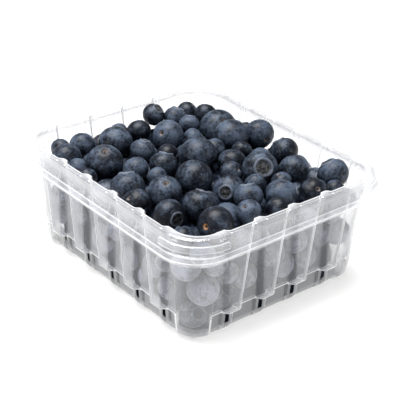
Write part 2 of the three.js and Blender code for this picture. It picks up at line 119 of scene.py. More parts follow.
# Which end of a top berry shows, and where on its face: right and up of its middle, in radii.
SHOWN_ENDS = {
    2: ("stem", 0.10, 0.65), 3: ("stem", -0.45, 0.11), 8: ("stem", 0.06, 0.56),
    9: ("crown", 0.61, -0.30), 11: ("stem", -0.60, -0.16), 12: ("crown", -0.28, -0.11),
    13: ("crown", 0.15, 0.10), 15: ("stem", 0.27, 0.32), 17: ("stem", 0.51, -0.46),
    23: ("stem", 0.25, 0.25), 26: ("crown", 0.55, 0.62),
    32: ("stem", -0.50, 0.40), 33: ("stem", -0.37, 0.50),
}
TAN_SCARS = (11,)
WITHERED = (14, 23, 34)

# ---- The camera ----

AZIMUTH, ELEVATION, ROLL = math.radians(40.143), math.radians(28.170), math.radians(1.875)
AIM, DISTANCE, FOCAL = Vector((-26.90, -34.37, 51.0)), 434.42, 99.82
SENSOR_WIDTH, NEAREST, FARTHEST = 36.0, 0.01, 20.0

back = Vector((-math.sin(AZIMUTH) * math.cos(ELEVATION),
               -math.cos(AZIMUTH) * math.cos(ELEVATION), math.sin(ELEVATION)))
level = Vector((math.cos(AZIMUTH), -math.sin(AZIMUTH), 0.0))
upright = back.cross(level)
right = math.cos(ROLL) * level + math.sin(ROLL) * upright
up = -math.sin(ROLL) * level + math.cos(ROLL) * upright


def add_camera():
    data = bpy.data.cameras.new("camera")
    data.sensor_width, data.lens = SENSOR_WIDTH, FOCAL
    data.clip_start, data.clip_end = NEAREST, FARTHEST
    camera = bpy.data.objects.new("camera", data)
    turn = Matrix((right, up, back)).transposed().to_4x4()
    camera.matrix_world = Matrix.Translation((AIM + back * DISTANCE) * MM) @ turn
    bpy.context.collection.objects.link(camera)
    bpy.context.scene.camera = camera


# ---- Meshes ----

def mesh_piece(name, points, faces, fields=None):
    """A smooth mesh object from points in millimetres; fields are extra numbers per point."""
    mesh = bpy.data.meshes.new(name)
    points = np.asarray(points, float)
    mesh.from_pydata((points * MM).tolist(), [], [tuple(map(int, f)) for f in faces])
    mesh.polygons.foreach_set("use_smooth", [True] * len(mesh.polygons))
    for field, values in (fields or {}).items():
        values = np.asarray(values, np.float32)
        kind = "FLOAT" if values.ndim == 1 else "FLOAT_VECTOR"
        layer = mesh.attributes.new(field, kind, "POINT")
        layer.data.foreach_set("value" if kind == "FLOAT" else "vector", values.ravel())
    mesh.update()
    piece = bpy.data.objects.new(name, mesh)
    bpy.context.collection.objects.link(piece)
    return piece


def ring_faces(rows, count, flipped=False, is_open=None):
    """The faces between rows of points, each row a closed ring of count points."""
    faces = []
    for i in range(rows - 1):
        for j in range(count):
            if is_open and is_open(i, j):
                continue
            a, b = i * count + j, i * count + (j + 1) % count
            faces.append((a, a + count, b + count, b) if flipped
                         else (a, b, b + count, a + count))
    return faces


def end_faces(rows, count, flipped=False):
    """The two faces that close the first and the last ring."""
    first, last = range(count), range((rows - 1) * count, rows * count)
    return [tuple(first), tuple(last[::-1])] if flipped else [tuple(first[::-1]), tuple(last)]


def join(parts):
    """Several (points, faces, field...) as one."""
    points, faces, fields, start = [], [], [], 0
    for part in parts:
        points.append(part[0])
        faces += [tuple(i + start for i in face) for face in part[1]]
        fields.append(part[2:])
        start += len(part[0])
    return [np.concatenate(points), faces] + [np.concatenate(f) for f in zip(*fields)]


# ---- The tub's rings ----

# A ring's points run round the tub: on each side a return, eight points a rib and a return,
# then the corner's arc. The middle pair of a rib's eight are the edges of its vent slot, and
# the next pair is the slot's rim. Softening makes three points of each one whose softness
# isn't 0, so that a return has three and a rib sixteen.
RIB_SOFTNESS, RETURN_SOFTNESS = [0.15, 0.6, 0, 0, 0, 0, 0.6, 0.15], 0.6
# The next row marks a rib's creases, which get a painted highlight.
RIB_CREASE_HIGHLIGHT = [0, 0, 0] + [0, 1, 0] + [0, 0, 0, 0] + [0, 1, 0] + [0, 0, 0]
# The next row marks a rib's flanks, where shade is painted on what shows through them.
RIB_FLANK_SHADE = [0, 0.5, 1] + [1, 0.5, 0] + [0, 0, 0, 0] + [0, 0.5, 1] + [1, 0.5, 0]
RIB_RIM = [0, 0, 0] + [0, 0, 0] + [0, 1, 1, 0] + [0, 0, 0] + [0, 0, 0]
# The next row marks the skirt's painted highlight, over one crease of each rib.
RIB_SKIRT_HIGHLIGHT = [0, 0, 0] + [0, 0, 0] + [0, 0, 0, 0] + [0, 1, 0] + [0, 0, 0]
RIB_NONE, RETURN_NONE, ARC_NONE = [0] * 16, [0] * 3, [0] * (ARC_STEPS + 1)
ARC_ALL, ARC_ENDS = [1] * (ARC_STEPS + 1), [1] + [0] * (ARC_STEPS - 1) + [1]

# A plain ring has the same points: the places of a rib's eight, in pitches from its middle.
PLAIN_PLACES = (-0.42, -0.34, -0.10, -0.08, 0.08, 0.10, 0.34, 0.42)
PLAIN_RETURN = 0.5  # how far its return is from the arc's start
RETURN_LEAN = 0.35  # how far a ribbed ring's return runs along for each mm that it runs in
SOFT_MOST = 0.42  # softening takes at most this share of the way to the next point


def side_point(index, along, distance):
    """The point that far along one of the four sides and that far out from the middle."""
    c, s = ((1, 0), (0, 1), (-1, 0), (0, -1))[index]
    return [along * c + distance * s, along * s - distance * c]


def half_sizes(index, out):
    """Half a side's length and its distance from the middle, that far out of the mouth."""
    short, long = HALF_X + out, HALF_Y + out
    return (long, short) if index % 2 else (short, long)


def rib_centres(index):
    count = RIBS_Y if index % 2 else RIBS_X
    return [(i - (count - 1) / 2) * RIB_PITCH for i in range(count)]


def corner_arc(index, half_length, distance, radius):
    """The arc from the end of one side to the start of the next."""
    turns = [i / ARC_STEPS * math.pi / 2 for i in range(ARC_STEPS + 1)]
    return [side_point(index, half_length - radius + radius * math.sin(t),
                       distance - radius + radius * math.cos(t)) for t in turns]


def round_ring(on_rib, at_return=RETURN_NONE, on_arc=ARC_NONE, mirrored=False):
    """One value for each point of a ring, from those of a rib, a return and a corner's arc.
    The ribs' values run the other way on every second side if mirrored."""
    row = []
    for index in range(4):
        rib = on_rib[::-1] if mirrored and index % 2 else on_rib
        row += at_return + rib * len(rib_centres(index)) + at_return + on_arc
    return row


def ribbed_ring(section, z, offset=0.0):
    """A section's ring, moved outwards by the offset."""
    points = []
    face = section["out"] + offset
    groove, corner = face - section["groove"], face - section["corner"]
    half, slot = section["rib"] / 2, VENT_WIDTH / 2
    for index in range(4):
        on_face = half_sizes(index, face)[1]
        in_groove = half_sizes(index, groove)[1]
        half_length, at_corner = half_sizes(index, corner)
        jog = half_length - section["r"] - abs(at_corner - in_groove) * RETURN_LEAN
        points.append(side_point(index, -jog, in_groove))
        for centre in rib_centres(index):
            for shift, distance in (
                (-half - section["flank"], in_groove), (-half, on_face),
                (-slot - SLOT_RIM, on_face), (-slot, on_face),
                (slot, on_face), (slot + SLOT_RIM, on_face),
                (half, on_face), (half + section["flank"], in_groove),
            ):
                points.append(side_point(index, centre + shift, distance))
        points.append(side_point(index, jog, in_groove))
        points += corner_arc(index, half_length, at_corner, section["r"])
    return np.array([(x, y, z) for x, y in points])


def plain_ring(outline, z, inside=0.0):
    """An outline's ring, moved inwards by inside."""
    out, radius = outline[0] - inside, outline[1]
    points = []
    for index in range(4):
        half_length, distance = half_sizes(index, out)
        jog = half_length - radius - PLAIN_RETURN
        points.append(side_point(index, -jog, distance))
        for centre in rib_centres(index):
            for shift in PLAIN_PLACES:
                points.append(side_point(index, centre + shift * RIB_PITCH, distance))
        points.append(side_point(index, jog, distance))
        points += corner_arc(index, half_length, distance, radius)
    return np.array([(x, y, z) for x, y in points])


def soften(rows, softness, closed):
    """Rounds the turn at each row: it becomes a small three-row curve, this many mm long."""
    out = []
    for i, (row, soft) in enumerate(zip(rows, softness)):
        if soft == 0 or (not closed and i in (0, len(rows) - 1)):
            out.append(row)
            continue
        ends = []
        for other in (rows[i - 1], rows[(i + 1) % len(rows)]):
            gap = np.linalg.norm(other - row, axis=-1, keepdims=True)
            share = np.minimum(soft / np.maximum(gap, 1e-6), SOFT_MOST)
            ends.append(row + (other - row) * share)
        out += [ends[0], 0.25 * ends[0] + 0.5 * row + 0.25 * ends[1], ends[1]]
    return out


def between(low, high, z):
    """The ring at height z, on the straight way from a low ring to a high one."""
    share = (z - low[0, 2]) / (high[0, 2] - low[0, 2])
    return low + (high - low) * share


def tub_profile():
    """The tub's rings: from the underside up the outside of the walls, out along the underside
    of lip, skirt and flange, back over their top to the mouth, and down the inside. Each has
    its softness, the part of the sheet that it is in, and a tag for what is special there."""
    half = SHEET / 2
    base, edge = ribbed_ring(AT_BASE, 0), ribbed_ring(AT_FOOT, FOOT_EDGE_Z, half)
    top = ribbed_ring(AT_FOOT_TOP, FOOT_TOP_Z - half, half)
    floor = ribbed_ring(AT_BASE, SHEET, -SHEET)
    inner_edge = ribbed_ring(AT_FOOT, FOOT_EDGE_Z + half, -half)
    inner_top = ribbed_ring(AT_FOOT_TOP, FOOT_TOP_Z + half, -half)
    wall_top = ribbed_ring(AT_MOUTH, HEIGHT - SHEET - HAIR, half)
    wall_foot = (ribbed_ring(AT_STEP, STEP_Z + WALL_FOOT_RISE, half) * (1 - WALL_FOOT_SHARE)
                 + ribbed_ring(AT_MOUTH, STEP_Z + WALL_FOOT_RISE, half) * WALL_FOOT_SHARE)
    return [
        (base, 0, "foot", ""),
        (between(base, edge, VENT_LOW), 0, "foot", "slot"),
        (edge, 0.7, "foot", "bevel"),
        (between(edge, top, VENT_HIGH), 0, "foot", "slot"),
        (top, 0.5, "foot", ""),
        (ribbed_ring(AT_STEP, STEP_Z, half), 0.8, "step", "ledge"),
        (wall_foot, 0, "wall", "flanks"),
        (between(wall_foot, wall_top, FLANGE_LIP_Z), 0, "wall", "flanks"),
        (wall_top, 0.4, "wall", ""),
        (plain_ring(LIP, HEIGHT - SHEET), 0.5, "lip", ""),
        (plain_ring(SHOULDER, SHOULDER_Z - HAIR, SHEET), 0.8, "skirt", ""),
        (plain_ring(SKIRT_FOOT, FLANGE_Z + HAIR, SHEET), 0.3, "skirt", ""),
        (plain_ring(FLANGE_ROOT, FLANGE_Z - ROOT_UNDER), 0.3, "flange", ""),
        (plain_ring(FLANGE, FLANGE_Z - FLANGE_UNDER, TURN_IN), 0, "flange", ""),
        (plain_ring(FLANGE, FLANGE_Z - FLANGE_UNDER, TURN_OUT), 0.1, "flange", ""),
        (plain_ring(FLANGE, FLANGE_LIP_Z, SHEET), 0.1, "flange", ""),
        (plain_ring(FLANGE, FLANGE_LIP_Z), 0.2, "flange", ""),
        (plain_ring(FLANGE, FLANGE_Z + EDGE_OVER), 0.3, "edge", ""),
        (plain_ring(FLANGE, FLANGE_Z + BAND_OUT[1], BAND_OUT[0]), 0, "flange", ""),
        (plain_ring(FLANGE, FLANGE_Z + BAND_IN[1], BAND_IN[0]), 0, "flange", ""),
        (plain_ring(FLANGE_ROOT, FLANGE_Z + ROOT_OVER), 0.4, "shoulder", ""),
        (plain_ring(SKIRT_FOOT, SKIRT_FOOT_Z), 0.4, "skirt", ""),
        (plain_ring(SHOULDER, SHOULDER_Z), 0.8, "shoulder", ""),
        (plain_ring(LIP, HEIGHT), 0.9, "lip", ""),
        (ribbed_ring(AT_MOUTH, HEIGHT, half / 2), 0.25, "mouth", ""),
        (ribbed_ring(AT_MOUTH, HEIGHT - MOUTH_DROP, -half), 0.3, "wall", ""),
        (ribbed_ring(AT_STEP, STEP_Z + half, -half), 1.0, "step", ""),
        (inner_top, 0.5, "foot", ""),
        (between(inner_edge, inner_top, VENT_HIGH), 0, "foot", "slot"),
        (inner_edge, 0.7, "foot", ""),
        (between(floor, inner_edge, VENT_LOW), 0, "foot", "slot"),
        (floor, 0, "foot", ""),
    ]


# ---- The tub ----

# How much light the plastic scatters, at each part of the sheet; a few are painted highlights.
MILK_AND_HIGHLIGHT = dict(foot=0.42, step=0.33, wall=0.25, lip=0.22, mouth=0.60, skirt=0.22, flange=0.14,
            # Painted highlights: mouth, edge, shoulder, boss rims, the foot's bevel and the
            # skirt's lines.
            edge=0.85, shoulder=0.50, boss_highlight=0.60, slot_rim=0.45, bevel=0.45, skirt_highlight=0.60,
            corner=0.26)

# What the points of a softened ring are on, 0 to 1.
ON_ARC = np.array(round_ring(RIB_NONE, on_arc=ARC_ALL))
ON_RIM = np.array(round_ring(RIB_RIM))
# Where the skirt's painted highlight is, over one crease of each rib.
ON_SKIRT_HIGHLIGHT = np.array(round_ring(RIB_SKIRT_HIGHLIGHT, mirrored=True))
# Where a rib's flanks are, whose painted shade darkens what shows through them.
ON_FLANK_SHADE = np.array(round_ring(RIB_FLANK_SHADE))
# Where the creases' painted highlights are, on the walls and round the foot.
IN_CREASE_HIGHLIGHT = np.array(round_ring(RIB_CREASE_HIGHLIGHT), float)
IN_FOOT_CREASE_HIGHLIGHT = np.array(round_ring(RIB_CREASE_HIGHLIGHT, on_arc=ARC_ENDS), float)


def row_milk_and_highlight(part, tag):
    """How milky each point of a row is, and its painted highlights."""
    milk_and_highlight = np.full(len(ON_ARC), MILK_AND_HIGHLIGHT[part])
    # On the skirt, a painted highlight over one crease of each rib.
    if part == "skirt":
        return np.where(ON_SKIRT_HIGHLIGHT, MILK_AND_HIGHLIGHT["skirt_highlight"], milk_and_highlight)
    if part == "foot":
        # Round the corners, the foot's bevelled bottom edge gets a painted highlight.
        milk_and_highlight = np.where(ON_ARC, MILK_AND_HIGHLIGHT["bevel" if tag == "bevel" else "corner"], milk_and_highlight)
    if tag == "slot":
        milk_and_highlight = np.where(ON_RIM, MILK_AND_HIGHLIGHT["slot_rim"], milk_and_highlight)
    return milk_and_highlight


def row_crease_highlight(part, tag, in_middle):
    """How strong the creases' painted highlight is at each point of a row; the ledge's is the
    middle of its turn.
    """
    if tag == "ledge" and in_middle:
        return np.ones(len(ON_ARC))
    if part == "foot":
        return IN_FOOT_CREASE_HIGHLIGHT
    return IN_CREASE_HIGHLIGHT if part in ("step", "wall") else np.zeros(len(ON_ARC))


def tub_rows():
    """The rings with all turns softened, the rows where the slots begin and end, and each
    point's milkiness with its painted highlights, the painted highlight of the creases, and how
    far it is on a rib's flank, which paints shade on what shows through it."""
    profile = tub_profile()
    softness = round_ring(RIB_SOFTNESS, at_return=[RETURN_SOFTNESS])
    rings = [np.stack(soften(list(ring), softness, True)) for ring, *_ in profile]
    rows = soften(rings, [soft for _, soft, *_ in profile], False)
    milk_and_highlight, crease_highlight, flank, slots = [], [], [], []
    for _, soft, part, tag in profile:
        if tag == "slot":
            slots.append(len(milk_and_highlight))
        for i in range(3 if soft else 1):
            milk_and_highlight.append(row_milk_and_highlight(part, tag))
            crease_highlight.append(row_crease_highlight(part, tag, i == 1))
            flank.append(ON_FLANK_SHADE if tag in ("ledge", "flanks") else 0 * ON_FLANK_SHADE)
    return rows, slots, np.concatenate(milk_and_highlight), np.concatenate(crease_highlight), np.concatenate(flank)


def slot_faces(count, slots, columns):
    """The faces through the sheet, round each vent slot."""
    outer_low, outer_high, inner_high, inner_low = slots
    outer = range(outer_low, outer_high + 1)
    inner = range(inner_low, inner_high - 1, -1)

    def at(row, column):
        return row * count + column

    faces = []
    for j in columns:
        k = j + 1
        for a, b, c, d in zip(outer, outer[1:], inner[1:], inner):
            faces.append((at(a, j), at(b, j), at(c, j), at(d, j)))
            faces.append((at(a, k), at(d, k), at(c, k), at(b, k)))
        faces.append((at(outer_low, k), at(outer_low, j), at(inner_low, j), at(inner_low, k)))
        faces.append((at(outer_high, j), at(outer_high, k), at(inner_high, k), at(inner_high, j)))
    return faces


def tub_mesh():
    """The whole sheet, closed: points, faces, milkiness with painted highlights, the creases'
    painted highlight, and the flanks' painted shade.
    """
    rows, slots, *fields = tub_rows()
    count = len(rows[0])
    columns = [i for i in range(count - 1) if ON_RIM[i] and ON_RIM[i + 1]]
    outer_low, outer_high, inner_high, inner_low = slots

    def in_slot(row, column):
        return column in columns and (outer_low <= row < outer_high
                                      or inner_high <= row < inner_low)

    faces = ring_faces(len(rows), count, is_open=in_slot)
    faces += slot_faces(count, slots, columns)
    faces += end_faces(len(rows), count)
    return np.concatenate(rows), faces, *fields


def boss_mesh(index):
    """The long boss on the skirt round one corner: points, faces, milkiness with painted
    highlights.
    """
    milk_and_highlight = np.full(BOSS_SIDES, MILK_AND_HIGHLIGHT["skirt"])
    # Painted highlights along the boss's rims.
    milk_and_highlight[[1, -2]] = MILK_AND_HIGHLIGHT["boss_highlight"]
    mid, tall = (BOSS_LOW + BOSS_HIGH) / 2, (BOSS_HIGH - BOSS_LOW) / 2
    lean = (SKIRT_FOOT[0] - SHOULDER[0]) / (SHOULDER_Z - SKIRT_FOOT_Z)
    radius = SHOULDER[1]
    arc = radius * math.pi / 2
    length = arc + 2 * BOSS_RUN
    half_length, distance = half_sizes(index, SHOULDER[0])
    points = []
    for i in range(BOSS_STEPS + 1):
        travel = i / BOSS_STEPS * length
        past = travel - BOSS_RUN
        turn = min(max(past / arc, 0), 1) * math.pi / 2
        from_end = min(travel, length - travel) / tall
        swell = math.sqrt(1 - (1 - min(from_end, 1)) ** 2) * (1 - BOSS_END) + BOSS_END
        for k in range(BOSS_SIDES):
            angle = math.pi * k / (BOSS_SIDES - 1)
            z = mid - tall * swell * math.cos(angle)
            rise = min(1, BOSS_STEEP * math.sin(angle))
            proud = -BOSS_ROOT + (BOSS_PROUD * swell + BOSS_ROOT) * rise
            out = radius + proud + lean * (SHOULDER_Z - z)
            along = half_length - radius + out * math.sin(turn) + min(past, 0)
            away = distance - radius + out * math.cos(turn) - max(past - arc, 0)
            points.append((*side_point(index, along, away), z))
    faces = ring_faces(BOSS_STEPS + 1, BOSS_SIDES, flipped=True)
    faces += end_faces(BOSS_STEPS + 1, BOSS_SIDES, flipped=True)
    return np.array(points), faces, np.tile(milk_and_highlight, BOSS_STEPS + 1)


# ---- The heap: the same rule as in the part's source, so that both put each berry alike ----

class Draws:
    """Random draws from 0 to 1, the same ones each time for a seed."""
    FACTOR, STEP, COUNT = 1664525, 1013904223, 4294967296

    def __init__(self, seed):
        self.state = seed

    def __call__(self):
        self.state = (self.state * self.FACTOR + self.STEP) % self.COUNT
        return self.state / self.COUNT


def wall_inset(turn, z):
    """How far inside the mouth's edge the sheet is at height z, at a "groove" or "corner"."""
    def inset(section):
        return section[turn] - section["out"]

    def blend(a, b, t):
        return a + (b - a) * np.clip(t, 0, 1)

    def wall(height):
        return blend(inset(AT_STEP), inset(AT_MOUTH), (height - STEP_Z) / (HEIGHT - STEP_Z))

    share = (z - FOOT_TOP_Z) / (WALL_FROM_Z - FOOT_TOP_Z)
    return np.where(z > WALL_FROM_Z, wall(z), blend(inset(AT_FOOT), wall(WALL_FROM_Z), share))


def from_walls(x, y, z):
    """How far inside the nearest wall's grooves a point is."""
    inset = wall_inset("groove", z)
    return np.minimum(HALF_X - inset - np.abs(x), HALF_Y - inset - np.abs(y))


def fits_inside(x, y, z, radius):
    skin = SHEET / 2 + BERRY_GAP
    groove = wall_inset("groove", z) + skin
    corner = wall_inset("corner", z) + AT_STEP["r"]
    into_x = np.abs(x) - (HALF_X - corner)
    into_y = np.abs(y) - (HALF_Y - corner)
    past_x = np.abs(x) + radius - (HALF_X - groove)
    past_y = np.abs(y) + radius - (HALF_Y - groove)

    def chord(past):
        return np.sqrt(np.maximum(past * (2 * radius - past), 0))

    straight = (into_x <= 0) | (into_y <= 0)
    wide = (chord(past_x) > into_y + CORNER_ROOM) | (chord(past_y) > into_x + CORNER_ROOM)
    reach = AT_STEP["r"] - skin - radius
    rounded = np.sqrt(np.maximum(into_x * into_x + into_y * into_y, 0)) <= reach
    return np.where(straight, np.maximum(past_x, past_y) <= 0, ~wide & rounded)


def mound(x, y):
    """How much higher the heap is here than at the walls."""
    def fall(t):
        return np.maximum(1 - np.abs(t * t * t), 0)

    return HEAP_RISE * fall(x / HALF_X) * fall(y / HALF_Y)


def top_depth(x, y, z):
    return HEAP_EDGE_Z + mound(x, y) - z


def rest_height(x, y, radius, berries):
    """The height at which a berry dropped here comes to lie on the others."""
    floor = SHEET + BERRY_GAP + radius
    if not len(berries):
        return np.full(np.shape(x), floor)
    b = np.array(berries)
    reach = PRESSED * (radius + b[:, 3])
    dx, dy = x[:, None] - b[:, 0], y[:, None] - b[:, 1]
    gap = reach * reach - dx * dx - dy * dy
    lying = np.where(gap > 0, b[:, 2] + np.sqrt(np.maximum(gap, 0)), floor)
    return np.maximum(lying.max(axis=1), floor)


def presses(x, y, z, radius, berries):
    if not len(berries):
        return np.zeros(np.shape(x), bool)
    b = np.array(berries)
    reach = PRESSED * (radius + b[:, 3])
    dx, dy, dz = x[:, None] - b[:, 0], y[:, None] - b[:, 1], z[:, None] - b[:, 2]
    return (dx * dx + dy * dy + dz * dz < reach * reach).any(axis=1)


def lower_place(x, y, radius, berries, clear, best):
    """The lowest of these places that is free, or the best so far if none is lower."""
    z = rest_height(x, y, radius, berries)
    score = z - mound(x, y)
    good = fits_inside(x, y, z, radius) & ~presses(x, y, z, radius, clear)
    score = np.where(good, score, np.inf)
    i = int(np.argmin(score))
    if score[i] < best[4]:
        return (float(x[i]), float(y[i]), float(z[i]), radius, float(score[i]))
    return best


def drop_berries(berries, limit, clear, draw):
    """Drops berries, each at the lowest place found, until none fits under the limit."""
    misses = 0
    while misses < MISSES:
        spread = (BERRY_MOST - BERRY_LEAST) * (1 - misses / MISSES)
        width = BERRY_LEAST + (spread * (draw() + draw() + draw())) / 3
        radius = width / 2
        best = (0.0, 0.0, 0.0, radius, math.inf)
        places = np.array([draw() for _ in range(2 * TRIES)]).reshape(-1, 2) - 0.5
        best = lower_place(places[:, 0] * MOUTH_X, places[:, 1] * MOUTH_Y, radius, berries,
                           clear, best)
        reach = radius
        for _ in range(SETTLE):
            dx, dy = (draw() - 0.5) * reach, (draw() - 0.5) * reach
            if best[4] < math.inf:
                best = lower_place(np.array([best[0] + dx]), np.array([best[1] + dy]), radius,
                                   berries, clear, best)
            reach *= SETTLE_SHRINK
        if best[4] > limit:
            misses += 1
        else:
            berries.append(best[:4])


def packed_berries():
    """Each berry's middle, radius, the way its crown points, and its number among the top ones."""
    draw = Draws(HEAP_SEED)
    berries = [(x, y, z, w / 2) for x, y, z, w in CORNER_BERRIES]
    top = [(x, y, z, w / 2) for x, y, z, w in TOP_BERRIES]
    drop_berries(berries, HEAP_EDGE_Z - TOP_DEPTH, top, draw)
    first_top = len(berries)
    berries += top
    drop_berries(berries, HEAP_EDGE_Z - FILL_DEPTH, [], draw)
    packed = []
    for i, berry in enumerate(berries):
        tilt = math.acos(1 - 2 * draw())
        turn = 2 * math.pi * draw()
        axis = Vector((math.sin(turn) * math.sin(tilt), -math.cos(turn) * math.sin(tilt),
                       math.cos(tilt)))
        number = i - first_top
        packed.append((*berry, axis, number if 0 <= number < len(top) else None))
    return packed


def shows(x, y, z, radius):
    return top_depth(x, y, z) < SEEN_DEPTH or from_walls(x, y, z) < radius + BY_WALL


def heap_core():
    """The dark core under the real berries: points and faces."""
    def ring_at(inset, scale, z_of):
        ring = []
        for i in range(CORE_SIDES):
            angle = i / CORE_SIDES * 2 * math.pi
            x, y = (math.copysign(abs(v) ** CORE_ROUNDNESS, v)
                    for v in (math.cos(angle), math.sin(angle)))
            x, y = scale * (HALF_X - inset) * x, scale * (HALF_Y - inset) * y
            ring.append((x, y, z_of(x, y)))
        return ring

    def top_of(x, y):
        return HEAP_EDGE_Z - CORE_BELOW + float(mound(x, y))

    rings = [ring_at(float(wall_inset("groove", z)) + inset, 1, lambda x, y: z)
             for z, inset in CORE_RINGS]
    inset = float(wall_inset("groove", HEIGHT)) + CORE_INSET
    rings += [ring_at(inset, scale, top_of) for scale in CORE_TOP_SCALES]
    faces = ring_faces(len(rings), CORE_SIDES) + end_faces(len(rings), CORE_SIDES)
    return np.array([point for ring in rings for point in ring]), faces


# ---- A berry ----

# Its rings, in degrees from the middle of its crown (the blossom end) to its stem scar.
FINE_RINGS = (4, 9, 14, 19, 23, 26, 29, 34, 42, 53, 66, 79, 92, 105, 118, 131, 143, 153, 161,
              167, 171, 175)
PLAIN_RINGS = (8, 16, 23, 27, 32, 45, 62, 80, 98, 116, 134, 150, 163, 172)
FINE_SIDES, PLAIN_SIDES = 26, 18

# Its relief, in shares of its radius. A hump has a height, a place and a width in degrees, and
# a pit has a depth, and the place and width of its edge. The crown's are those of a crown of
# CROWN_SIZE degrees; each berry's own is drawn between the least and the most.
CROWN_SIZE, CROWN_LEAST, CROWN_MOST, CROWN_REACH = 25, 20, 27, 60
RIM_LEAST, RIM_LOBES, RIM_AT, RIM_WIDTH = 0.035, 0.035, 26, 3.2
LOBES, LOBE_SWING, WIDE_LOBES, WIDE_SWING = 5, 0.5, 3, 0.3  # five lobes, made uneven by three
DISC_PIT, DISC_HUMP, CROWN_MOAT = (0.115, 21.5, 1.2), (0.05, 0, 5), (0.03, 36, 6)
SCAR_PIT, SCAR_DIMPLE = (0.16, 8.5, 1.1), (0.03, 0, 17)
SWELLINGS, LONG_SWELLING = (0.020, 0.022, 0.014), 0.015
# The folds of a withered one: depth, turns round and along, shift, sharpness, fade to the ends.
FOLDS = ((0.10, 2.5, 2, 0, 6, 2), (0.07, 1.5, 3, 1, 8, 1))
SHIFT = 6  # about a whole turn
SKIN_SPREAD = 40  # how far apart the patterns of two berries' skins may lie


def hump(angle, height, at, width):
    return height * np.exp(-((angle - at) / width) ** 2)


def pit(angle, depth, edge, width):
    return depth / (1 + np.exp((angle - edge) / width))


def berry_sizes(theta, phi, crown, withered, draws):
    """How far the skin is from the berry's middle, in radii, by the angle from the crown and
    round it."""
    size = sum(height * draw * np.cos(turns * phi + SHIFT * shift) * np.sin(theta) ** turns
               for turns, (height, (draw, shift)) in enumerate(zip(SWELLINGS, draws), 1))
    size = size + LONG_SWELLING * draws[3, 0] * np.cos(3 * theta + SHIFT * draws[3, 1])
    size = 1 + size
    from_crown = np.degrees(theta) * np.ones_like(phi) * CROWN_SIZE / crown
    lobes = LOBE_SWING + LOBE_SWING * np.cos(LOBES * phi + SHIFT * draws[0, 0])
    lobes = lobes + WIDE_SWING * np.cos(WIDE_LOBES * phi + SHIFT * draws[1, 1])
    size = size + hump(from_crown, RIM_LEAST + RIM_LOBES * lobes, RIM_AT, RIM_WIDTH)
    size = size - pit(from_crown, *DISC_PIT) + hump(from_crown, *DISC_HUMP)
    size = size - hump(from_crown, *CROWN_MOAT)
    from_scar = 180 - np.degrees(theta)
    size = size - pit(from_scar, *SCAR_PIT) - hump(from_scar, *SCAR_DIMPLE)
    if withered:
        for depth, rounds, along, shift, sharpness, fade in FOLDS:
            fold = np.abs(np.cos(rounds * phi + along * theta + shift)) ** sharpness
            size = size - depth * fold * np.sin(theta) ** fade
    return size


def berry_mesh(x, y, z, radius, axis, fine, withered, noise):
    """One berry: a flattened ball with a lobed crown round a sunk disc, and a stem scar.
    Points, faces, the way from crown to scar (0 to 1), and the place in the skin's pattern."""
    degrees = np.array(FINE_RINGS if fine else PLAIN_RINGS, float)
    sides = FINE_SIDES if fine else PLAIN_SIDES
    theta = np.radians(degrees)[:, None]
    phi = np.arange(sides) / sides * 2 * math.pi
    draws = noise.uniform(-1, 1, (4, 2))
    crown = noise.uniform(CROWN_LEAST, CROWN_MOST)
    size = berry_sizes(theta, phi, crown, withered, draws)
    local = np.stack([size * np.sin(theta) * np.cos(phi), size * np.sin(theta) * np.sin(phi),
                      size * np.cos(theta) * BERRY_FLAT], -1).reshape(-1, 3)
    head_size, tail_size = 1 - DISC_PIT[0] + DISC_HUMP[0], 1 - (SCAR_PIT[0] + SCAR_DIMPLE[0])
    ends = [(0, 0, head_size * BERRY_FLAT), (0, 0, -tail_size * BERRY_FLAT)]
    local = np.concatenate([local, ends])
    turn = axis.to_track_quat("Z", "Y").to_matrix()
    points = local @ np.array(turn).T * radius + np.array((x, y, z))
    head, tail = len(local) - 2, len(local) - 1
    last = (len(degrees) - 1) * sides
    faces = ring_faces(len(degrees), sides, flipped=True)
    faces += [(head, j, (j + 1) % sides) for j in range(sides)]
    faces += [(tail, last + (j + 1) % sides, last + j) for j in range(sides)]
    polar = np.where(degrees < CROWN_REACH, degrees * CROWN_SIZE / crown, degrees)
    polar = np.concatenate([np.repeat(polar, sides), [0, 180]]) / 180
    skin = local + noise.uniform(-SKIN_SPREAD, SKIN_SPREAD, 3)
    return points, faces, polar, skin


# ---- The heap's looks ----

CROWN_DOWN, SWAY, TOWARD_MOST = 0.8, 0.5, 0.2  # of a top berry with both ends hidden
TONES, STAINS, TAN_STAIN = (0.1, 1.0), (0, 0.08), 1.0
CORE_STAIN = -1.0  # a stain below zero marks the core, which has no gloss
CORE_MARK = (0.6 * CORE_STAIN, 0.2 * CORE_STAIN)
CORE_POLAR, CORE_SKIN = 0.5, 0.1
# The core is a little pale near the corners, this far in from the mouth's edges: bloom and painted
# light.
CORNER_IN, CORE_PALE, CORE_PALE_REACH, CORE_PALE_FADE = 6, 0.15, 15.0, 8.0
# The skin turns pale, with whole bloom and painted light, this far from the walls and this far
# under the top, fully so the third length further on. From the base up it turns pale over the
# fourth, so that painted shade darkens it low down.
PALE_REACH, PALE_UNDER, PALE_FADE, FOOT_SHADE_RISE = 9.0, 1.0, 6.0, 8.0


def top_axis(number, noise):
    """The way a top berry's crown points: as shown, or across the view with both ends hidden."""
    if number in SHOWN_ENDS:
        end, across, rise = SHOWN_ENDS[number]
        toward = math.sqrt(1 - across * across - rise * rise)
        axis = across * right + rise * up + toward * back
        return axis if end == "crown" else -axis
    angle = math.pi / 2 * (-1 if noise.uniform() < CROWN_DOWN else 1) + noise.uniform(-SWAY, SWAY)
    return (math.cos(angle) * right + math.sin(angle) * up
            + noise.uniform(0.0, TOWARD_MOST) * back).normalized()


